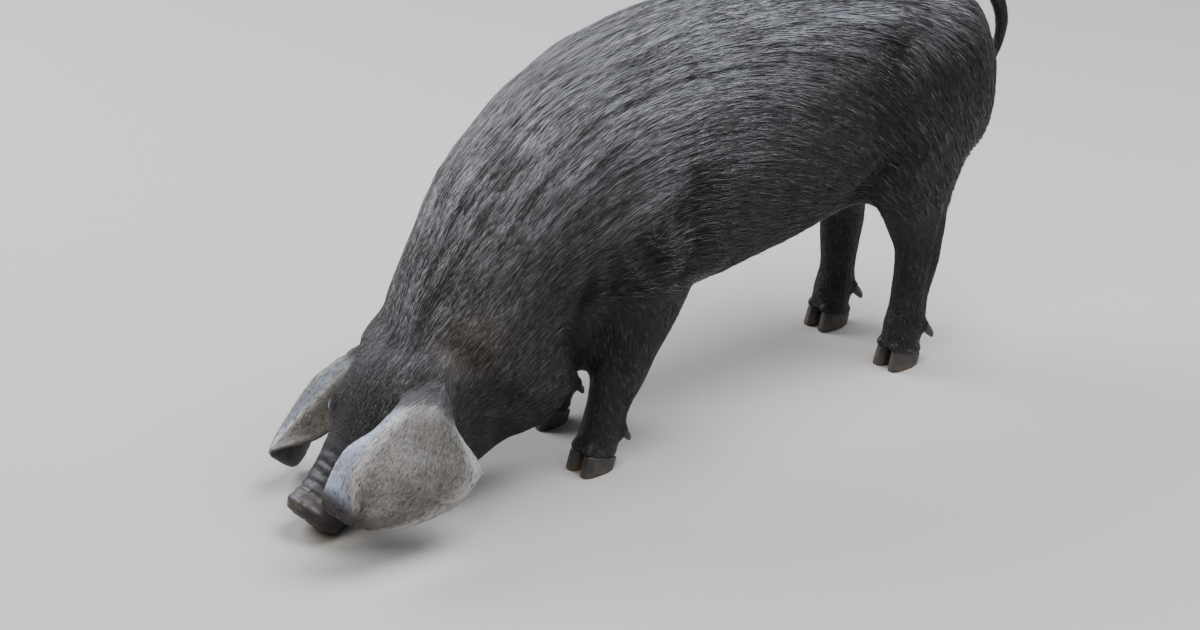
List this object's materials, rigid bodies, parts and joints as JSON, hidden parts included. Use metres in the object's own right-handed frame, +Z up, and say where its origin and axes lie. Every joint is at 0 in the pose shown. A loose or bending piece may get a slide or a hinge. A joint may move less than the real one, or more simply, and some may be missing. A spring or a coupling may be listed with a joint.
{
  "type": "young black lop-eared pig",
  "caption": "Life-size still model of a young black lop-eared pig, standing with its head down and its snout on the ground, rooting.",
  "frame": {"origin": "on the floor, under the middle of the pig's bounding box", "axes": "-Y is the way the pig faces, +X is its left side, +Z is up"},
  "size_m": [0.2188, 0.8042, 0.396],
  "materials": {
    "black_coat": "short flat black hair over dark hide, satin",
    "ear_skin": "thin grey skin with sparse fine hair, satin",
    "snout_skin": "dark grey bare skin, slightly damp, dusty",
    "horn": "dark claw horn, satin, dusted with soil",
    "eye": "wet, very dark brown"
  },
  "bodies": {
    "root": {"claw_fore_left_inner": "horn", "claw_fore_left_outer": "horn", "claw_fore_right_inner": "horn", "claw_fore_right_outer": "horn", "claw_hind_left_inner": "horn", "claw_hind_left_outer": "horn", "claw_hind_right_inner": "horn", "claw_hind_right_outer": "horn", "dewclaw_fore_left_inner": "horn", "dewclaw_fore_left_outer": "horn", "dewclaw_fore_right_inner": "horn", "dewclaw_fore_right_outer": "horn", "dewclaw_hind_left_inner": "horn", "dewclaw_hind_left_outer": "horn", "dewclaw_hind_right_inner": "horn", "dewclaw_hind_right_outer": "horn", "ear_left": "ear_skin", "ear_right": "ear_skin", "eye_left": "eye", "eye_right": "eye", "foreleg_lower_left": "black_coat", "foreleg_lower_right": "black_coat", "foreleg_upper_left": "black_coat", "foreleg_upper_right": "black_coat", "head": "black_coat", "hindleg_lower_left": "black_coat", "hindleg_lower_right": "black_coat", "hindleg_upper_left": "black_coat", "hindleg_upper_right": "black_coat", "neck": "black_coat", "snout": "snout_skin", "tail": "black_coat", "trunk": "black_coat"}
  },
  "joints": []
}
